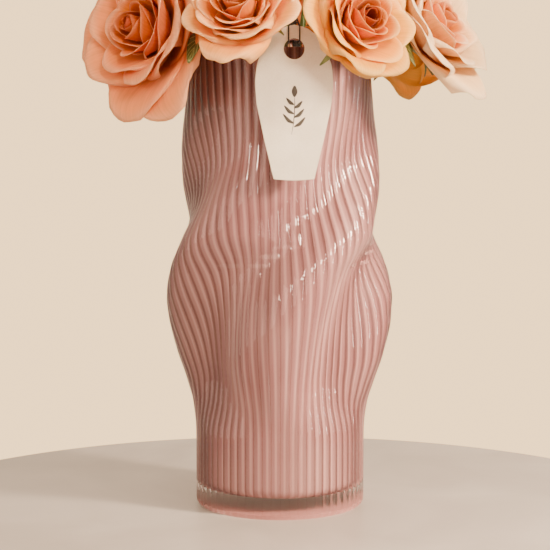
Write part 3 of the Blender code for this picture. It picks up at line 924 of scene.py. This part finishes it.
# --- leaves and tie -----------------------------------------------------------------------------
@dataclass
class Leaves:
    """The leaves that come out between the lower blooms."""

    length: float = 0.044
    width: float = 0.016
    start: float = 0.064
    rim_height: float = 0.2965
    angles: tuple[float, ...] = (-32.0, 53.0, 98.0, 144.0, 189.5, 235.0, 278.0)
    # shares along the leaf, and the degrees it has bent down there
    droop: tuple[tuple[float, ...], ...] = (
        (0.0, 0.15, 0.38, 0.62, 0.84, 1.0), (0.0, 6.0, 20.0, 38.0, 54.0, 62.0),
    )

    def leaf(self, number: int, degrees: float) -> bpy.types.Object:
        """One toothed leaf, folded along its midrib and bending down.

        Args:
            number: its number.
            degrees: its angle from the front.

        Returns:
            The leaf.
        """
        rng = np.random.default_rng(900 + number)
        angle = math.radians(degrees)
        fine = np.linspace(0.0, 1.0, 50)
        bend = np.radians(np.interp(fine, *self.droop))
        steps = len(fine) - 1
        run = np.concatenate([[0.0], np.cumsum(np.cos(bend[1:]))]) / steps * self.length + self.start
        fall = self.rim_height - np.concatenate([[0.0], np.cumsum(np.sin(bend[1:]))]) / steps * self.length
        twist = rng.uniform(-0.25, 0.25)
        made = sheet_of(f"leaf_{number:02d}_toothed", 16, 40)

        def place(u: np.ndarray, v: np.ndarray) -> np.ndarray:
            """Points of the leaf, its halves raised from the midrib."""
            s = 2.0 * u - 1.0
            outline = np.sin(math.pi * np.clip(v, 0.0, 1.0) ** 0.85) ** 0.75 * (1.0 - 0.25 * v) + 0.03
            teeth = 1.0 + 0.09 * np.abs(((v * 13.0) % 1.0) - 0.2) * (np.abs(s) > 0.9)
            across = s * 0.5 * self.width * outline * teeth
            reach, z = np.interp(v, fine, run), np.interp(v, fine, fall)
            slope = np.interp(v, fine, bend)
            lift = 0.22 * np.abs(across) + 0.0006 * np.sin(9.0 * v + 3.0 * s) * np.abs(s)
            reach, z = reach + lift * np.sin(slope), z + lift * np.cos(slope) + twist * across * v
            x, y = reach * math.sin(angle), -reach * math.cos(angle)
            return np.stack([x + across * math.cos(angle), y + across * math.sin(angle), z], axis=1)

        shape(made.data, place)
        modify(made, "SOLIDIFY", thickness=0.0005, offset=0.0)
        return made

    def build(self) -> None:
        """Make and dress the leaves and the twine under them."""
        skin = Greenery("rose_leaf_green", "3B4A20", "66713A", veined=True).material()
        for number, degrees in enumerate(self.angles, start=1):
            finished(self.leaf(number, degrees), skin, "leaf", f"leaf_{number:02d}")
        twine = merged_copy("stem_tie_twine", "stem_tie")
        modify(twine, "SUBSURF", levels=2, render_levels=2)
        finished(twine, Thread("jute_twine", "8A6A3C", "B8965E", 1.2 * MM).material(), "twine", "stem_tie")


# --- gift tag -----------------------------------------------------------------------------------
@dataclass
class GiftTag:
    """The card with a printed sprig, and the cord, bead and ribbon that hang it."""

    height: float = 0.0900
    width: float = 0.0460
    foot_width: float = 0.0240
    thickness: float = 0.0008
    centre_x: float = 0.0080
    bottom_z: float = 0.2090
    front_y: float = -0.0685
    hole_radius: float = 0.0061
    hole_below_top: float = 0.0140
    cord_radius: float = 0.00045
    cord_spacing: float = 0.0065
    bead_radius: float = 0.0027
    bead_length: float = 0.0075
    ribbon_width: float = 0.0050
    ribbon_thickness: float = 0.0006
    gap: float = 0.0003
    bead_above_card: float = 0.0050
    # what the ribbon is tied to, inside the vase
    tie_height: float = 0.204
    tie_ring: float = 0.0220
    stem_radius: float = 0.0023
    twine_radius: float = 0.0012
    sprig_above_foot: float = 0.026

    def hole_z(self) -> float:
        """The height of the hole's centre."""
        return self.bottom_z + self.height - self.hole_below_top

    def bead_z(self) -> float:
        """The height of the bead's lower end."""
        return self.bottom_z + self.height + self.bead_above_card

    def cord_y(self) -> float:
        """Where the cord's centre lies in front of the card."""
        return self.front_y - self.cord_radius - self.gap

    def outline(self) -> tuple[np.ndarray, np.ndarray]:
        """The card's edge as seen from the hole.

        Returns:
            Angles round the hole, and the edge's distance at each.
        """
        shares = np.array((0.0, 0.12, 0.30, 0.48, 0.62, 0.74, 0.85, 0.93, 0.98, 1.0))
        foot = 0.5 * self.foot_width / self.width
        halves = np.array((foot, 0.318, 0.400, 0.475, 0.500, 0.480, 0.400, 0.290, 0.160, 0.0))
        h = np.concatenate([np.linspace(0.0, 0.85, 60), np.linspace(0.86, 1.0, 40)])
        w = np.interp(h, shares, halves)
        smooth = np.hanning(9) / np.hanning(9).sum()
        w[4:-4] = np.convolve(w, smooth, "same")[4:-4]
        x = np.concatenate([w, -w[::-1]]) * self.width
        z = np.concatenate([h, h[::-1]]) * self.height - (self.height - self.hole_below_top)
        turn = np.arctan2(x, -z)
        order = np.argsort(turn)
        return turn[order], np.hypot(x, z)[order]

    def card(self) -> bpy.types.Object:
        """The card, as a ring of faces from the hole's edge round the outline and back.

        Returns:
            The card.
        """
        turns, reach = self.outline()
        every = np.unique(np.concatenate([turns, np.linspace(-math.pi, math.pi, 97)]).round(5))
        edge = np.interp(every, turns, reach, period=2 * math.pi)
        soft, t = 0.00012, self.thickness
        # share of the way from the hole to the edge, what is added to that, and the depth
        rows = [
            (0.0, 0.0, soft), (0.0, soft, 0.0), (0.5, 0.0, 0.0), (1.0, -soft, 0.0), (1.0, 0.0, soft),
            (1.0, 0.0, t - soft), (1.0, -soft, t), (0.5, 0.0, t), (0.0, soft, t), (0.0, 0.0, t - soft),
            (0.0, 0.0, soft),
        ]
        table = np.array(rows)
        made = sheet_of("tag_card_cut", len(every) - 1, len(rows) - 1)

        def place(u: np.ndarray, v: np.ndarray) -> np.ndarray:
            """Points from the hole out over the front, and back behind."""
            i = np.rint(u * (len(every) - 1)).astype(int)
            k = np.rint(v * (len(rows) - 1)).astype(int)
            r = self.hole_radius + (edge[i] - self.hole_radius) * table[k, 0] + table[k, 1]
            x, z = r * np.sin(every[i]), -r * np.cos(every[i])
            return np.stack([self.centre_x + x, self.front_y + table[k, 2], self.hole_z() + z], axis=1)

        shape(made.data, place)
        close(made)
        return made

    def sprig(self) -> bpy.types.Object:
        """A printed sprig of leaves and a bud, in dark ink on the card's face.

        Returns:
            The print.
        """
        parts = []
        base_z, y = self.bottom_z + self.sprig_above_foot, self.front_y - 0.00003

        def stroke(name: str, wide: float, *points: tuple[float, float]) -> None:
            """Add a fine line that swells in its middle, all in millimetres.

            Args:
                name: the line's name.
                wide: its width in the middle.
                *points: its route over the card, to the right and up.
            """
            line = np.array([(a * MM, b * MM) for a, b in points])
            steps = range(len(line))
            made = sheet_of(name, 1, 24)

            def place(u: np.ndarray, v: np.ndarray) -> np.ndarray:
                """Points on both sides of the line."""
                k = v * (len(line) - 1)
                x, z = (np.interp(k, steps, line[:, c]) for c in (0, 1))
                ahead, behind = np.minimum(k + 0.1, len(line) - 1), np.maximum(k - 0.1, 0)
                dx, dz = (
                    np.interp(ahead, steps, line[:, c]) - np.interp(behind, steps, line[:, c]) for c in (0, 1)
                )
                n = np.maximum(np.hypot(dx, dz), 1e-9)
                half = (u - 0.5) * (wide * MM) * (0.25 + 0.75 * np.sin(math.pi * np.clip(v, 0.02, 0.98)))
                x, z = self.centre_x + (x - dz / n * half), base_z + (z + dx / n * half)
                return np.stack([x, np.full_like(x, y), z], axis=1)

            shape(made.data, place)
            parts.append(made)

        stroke("sprig_stem", 0.55, (-1.5, 0.0), (-0.4, 6.0), (0.2, 12.0), (0.4, 18.0), (0.2, 23.0))
        # height on the stem, side and length of each leaf
        leaves = (
            (4.5, 1, 6.5), (6.5, -1, 6.5), (10.0, 1, 5.8), (12.0, -1, 5.8), (15.5, 1, 4.8), (17.5, -1, 4.6),
        )
        for k, (z, side, size) in enumerate(leaves):
            middle, tip = (side * size * 0.5, z + size * 0.25), (side * size, z + size * 0.85)
            stroke(f"sprig_leaf_{k}", 2.1, (0.0, z), middle, tip)
        stroke("sprig_bud", 3.4, (0.2, 22.0), (0.25, 25.0), (0.3, 28.5))
        made = joined("tag_card_sprig", parts)
        modify(made, "SOLIDIFY", thickness=0.00004, offset=0.0)
        return made

    def cord_route(self) -> np.ndarray:
        """The loop's centre line: down in front of the card, through the hole, up behind and back."""
        top = self.bottom_z + self.height
        edge = self.hole_z() + self.hole_radius * 0.80
        front = self.cord_y()
        back = self.front_y + self.thickness + self.cord_radius + self.gap
        meet = top + self.bead_above_card - self.gap - self.cord_radius
        left, right = self.centre_x - self.cord_spacing / 2, self.centre_x + self.cord_spacing / 2
        corners = np.array([
            (self.centre_x - 0.0012, front, meet), (left, front, top - 0.001), (left, front, edge),
            (left, back, edge - 0.0012), (left, back, top - 0.0015), (left + 0.001, back, top + 0.0012),
            (right - 0.001, back, top + 0.0012), (right, back, top - 0.0015), (right, back, edge - 0.0012),
            (right, front, edge), (right, front, top - 0.001), (self.centre_x + 0.0012, front, meet),
        ])
        route = [corners[0]]
        for a, b in zip(corners, corners[1:]):
            count = max(1, round(float(np.linalg.norm(b - a)) / 0.0008))
            route += [a + (b - a) * k / count for k in range(1, count + 1)]
        return np.array(route)

    def ribbon_route(self) -> np.ndarray:
        """The ribbon's centre line, from the tie up and out to the bead."""
        start = self.bead_z() + self.bead_length + self.gap
        front = self.cord_y()
        turn = math.atan2(self.centre_x, -self.front_y)
        reach = self.tie_ring + self.stem_radius + 2 * self.twine_radius + 2 * self.gap
        reach += self.ribbon_thickness
        end = np.array((reach * math.sin(turn), -reach * math.cos(turn), self.tie_height))
        p = np.array([
            (self.centre_x, front, start), (self.centre_x, front + 0.004, start + 0.012),
            (self.centre_x, -0.040, start + 0.014), (self.centre_x * 0.85, -0.040, start - 0.030),
        ])
        t = np.linspace(0.0, 1.0, 11)[:, None]
        curve = (1 - t) ** 3 * p[0] + 3 * (1 - t) ** 2 * t * p[1] + 3 * (1 - t) * t * t * p[2] + t**3 * p[3]
        line = [p[3] + (end - p[3]) * k / 5 for k in range(1, 6)]
        return np.concatenate([curve, line])[::-1]

    def ribbon(self, route: np.ndarray) -> bpy.types.Object:
        """A flat woven ribbon along a route.

        Args:
            route: its centre line.

        Returns:
            The ribbon.
        """
        fine = np.linspace(0, len(route) - 1, 70)
        line = np.stack([np.interp(fine, range(len(route)), route[:, k]) for k in range(3)], axis=1)
        tangent = unit(np.gradient(line, axis=0))
        wide = np.tile((1.0, 0.0, 0.0), (len(line), 1))
        thick = unit(np.cross(tangent, wide))
        made = sheet_of("tag_ribbon_woven", 12, len(line) + 1)
        half, t = self.ribbon_width / 2, self.ribbon_thickness / 2

        def place(u: np.ndarray, v: np.ndarray) -> np.ndarray:
            """Points round the ribbon's flat section."""
            row = np.rint(v * (len(line) + 1)).astype(int)
            k = np.clip(row - 1, 0, len(line) - 1)
            turn = 2 * math.pi * u
            x = np.sign(np.cos(turn)) * np.abs(np.cos(turn)) ** 0.35 * half
            y = np.sign(np.sin(turn)) * np.abs(np.sin(turn)) ** 0.8 * t
            ends = (row == 0) | (row == len(line) + 1)
            x, y = np.where(ends, 0.0, x), np.where(ends, 0.0, y)
            return line[k] + x[:, None] * wide[k] + y[:, None] * thick[k]

        shape(made.data, place)
        close(made)
        return made

    def bead(self) -> bpy.types.Object:
        """The wrapped knot that gathers the loop's two ends."""
        share = np.linspace(0.0, 1.0, 40)
        route = np.empty((len(share), 3))
        route[:] = self.centre_x, self.cord_y(), self.bead_z()
        route[:, 2] += share * self.bead_length
        wraps = 8  # turns of cord round the bead
        swell = 0.62 + 0.33 * np.sin(math.pi * share) ** 0.5 + 0.05 * np.cos(share * 2 * math.pi * wraps)
        barrel = self.bead_radius * swell
        return tube("cord_bead_wrapped", route, barrel, 32)

    def build(self) -> None:
        """Make and dress the tag and what hangs it."""
        finished(self.card(), Paper().material(), "card", "tag_card", angle=35.0)
        ink = Thread("dark_printing_ink", "3A332E", "4A423B", 0.4 * MM, 0.75).material()
        finished(self.sprig(), ink, "card")
        black = Thread("waxed_black_cord", "0B0B0C", "1E1D1F", 0.5 * MM, 0.5).material()
        woven = Thread("black_grosgrain_ribbon", "0B0B0C", "232225", 0.4 * MM, 0.6).material()
        bead = finished(self.bead(), black, "cord", "cord_bead")
        route = self.cord_route()
        widths = np.full(len(route), self.cord_radius)
        loop = finished(tube("tag_cord_loop", route, widths, 10), black, "cord", "tag_cord")
        path = self.ribbon_route()
        ribbon = finished(self.ribbon(path), woven, "ribbon", "tag_ribbon", angle=40.0)
        self.length(path)
        self.length(route)

    def length(self, route: np.ndarray) -> float:
        """The length of a route in metres."""
        return float(np.linalg.norm(np.diff(route, axis=0), axis=1).sum())


# --- studio -------------------------------------------------------------------------------------
@dataclass(frozen=True)
class SoftBox:
    """A soft rectangular light.

    Its place, the point it faces, its width and height in metres, its power in watts, its colour, and
    how widely its light spreads in degrees.
    """

    name: str
    place: Point
    aim: Point
    size: tuple[float, float]
    power: float
    colour: str
    fan: float = 180.0


@dataclass
class Studio:
    """Camera, round pale floor and soft warm light."""

    lens: float = 90.5
    sensor: float = 36.0
    eye: Point = (-0.0032, -0.885, 0.2125)
    pitch: float = -4.22
    floor_radius: float = 0.285
    floor_thickness: float = 0.02
    floor_centre_y: float = -0.061
    floor_colour: str = "D9D2CC"
    floor_cloud: str = "C9C1BB"
    wall_colour: str = "FFD39A"
    wall_strength: float = 2.75
    air_colour: str = "FFE0BE"
    air_strength: float = 1.10
    boxes: tuple[SoftBox, ...] = (
        SoftBox("key_window", (1.18, -0.64, 0.76), (0.0, 0.0, 0.20), (0.18, 0.26), 47.0, "FFE3C2"),
        SoftBox("side_strip", (0.72, -0.52, 0.26), (0.0, 0.0, 0.16), (0.03, 0.50), 3.0, "FFF1E0"),
        SoftBox("left_fill", (-0.95, -1.20, 0.40), (0.0, 0.0, 0.20), (1.50, 1.10), 10.0, "FFE2CC"),
        SoftBox("flower_box", (0.34, -1.00, 0.74), (0.0, -0.02, 0.345), (0.30, 0.30), 0.55, "FFE6C8", 24.0),
    )

    def camera(self) -> None:
        """The camera, level but for a slight tilt down."""
        data = bpy.data.cameras.new("camera")
        data.lens, data.sensor_width = self.lens, self.sensor
        made = bpy.data.objects.new("camera", data)
        bpy.context.scene.collection.objects.link(made)
        made.location = self.eye
        made.rotation_euler = (math.radians(90.0 + self.pitch), 0.0, 0.0)
        bpy.context.scene.camera = made

    def floor(self) -> None:
        """A round pale matt floor with a softened edge."""
        bpy.ops.object.select_all(action="DESELECT")
        bpy.ops.mesh.primitive_cylinder_add(
            vertices=160, radius=self.floor_radius, depth=self.floor_thickness,
            location=(0.0, self.floor_centre_y, -0.0101),
        )
        made = bpy.context.active_object
        made.name = "pale_matt_floor"
        modify(made, "BEVEL", width=0.003, segments=3)
        skin, tree, shader, _ = new_material("pale_honed_plaster")
        points = node(tree, "TexCoord").outputs["Object"]
        cloud = node(tree, "TexNoise", Vector=points, Scale=9.0, Detail=5.0, Distortion=0.8)
        tones = {"stops": ((0.35, self.floor_cloud), (0.62, self.floor_colour))}
        colour = node(tree, "ValToRGB", tones, in0=cloud.outputs[0])
        feed(tree, shader, Base_Color=colour.outputs[0], Roughness=0.35)
        made.data.materials.append(skin)
        only(made)
        bpy.ops.object.shade_smooth_by_angle(angle=math.radians(40.0))

    def light(self, box: SoftBox) -> None:
        """Add one soft light."""
        data = bpy.data.lights.new(box.name, "AREA")
        data.spread = math.radians(box.fan)
        data.shape = "RECTANGLE"
        data.size, data.size_y = box.size
        data.energy = box.power
        data.color = linear(box.colour)[:3]
        made = bpy.data.objects.new(box.name, data)
        bpy.context.scene.collection.objects.link(made)
        made.location = box.place
        way = Vector(box.aim) - Vector(box.place)
        made.rotation_euler = way.to_track_quat("-Z", "Y").to_euler()

    def air(self) -> None:
        """A warm even room light, with a brighter cream wall behind."""
        world = bpy.context.scene.world or bpy.data.worlds.new("studio")
        bpy.context.scene.world = world
        world.use_nodes = True
        tree = world.node_tree
        room = tree.nodes["Background"]
        feed(tree, room, Color=linear(self.air_colour), Strength=self.air_strength)
        wall = node(tree, "Background", Color=linear(self.wall_colour), Strength=self.wall_strength)
        path = node(tree, "LightPath")
        seen = path.outputs["Is Camera Ray"]
        mix = node(tree, "MixShader", in0=seen, in1=room.outputs[0], in2=wall.outputs[0])
        feed(tree, tree.nodes["World Output"], Surface=mix.outputs[0])

    def build(self) -> None:
        """Set up the studio."""
        self.camera()
        self.floor()
        for box in self.boxes:
            self.light(box)
        self.air()


def main() -> None:
    """Build the studio and then the object, piece by piece."""
    logging.basicConfig(level=logging.INFO, format="%(message)s")
    Studio().build()
    GiftTag().build()
    Vase().build()
    Roses().build()
    Leaves().build()
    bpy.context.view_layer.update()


if __name__ == "__main__":
    main()
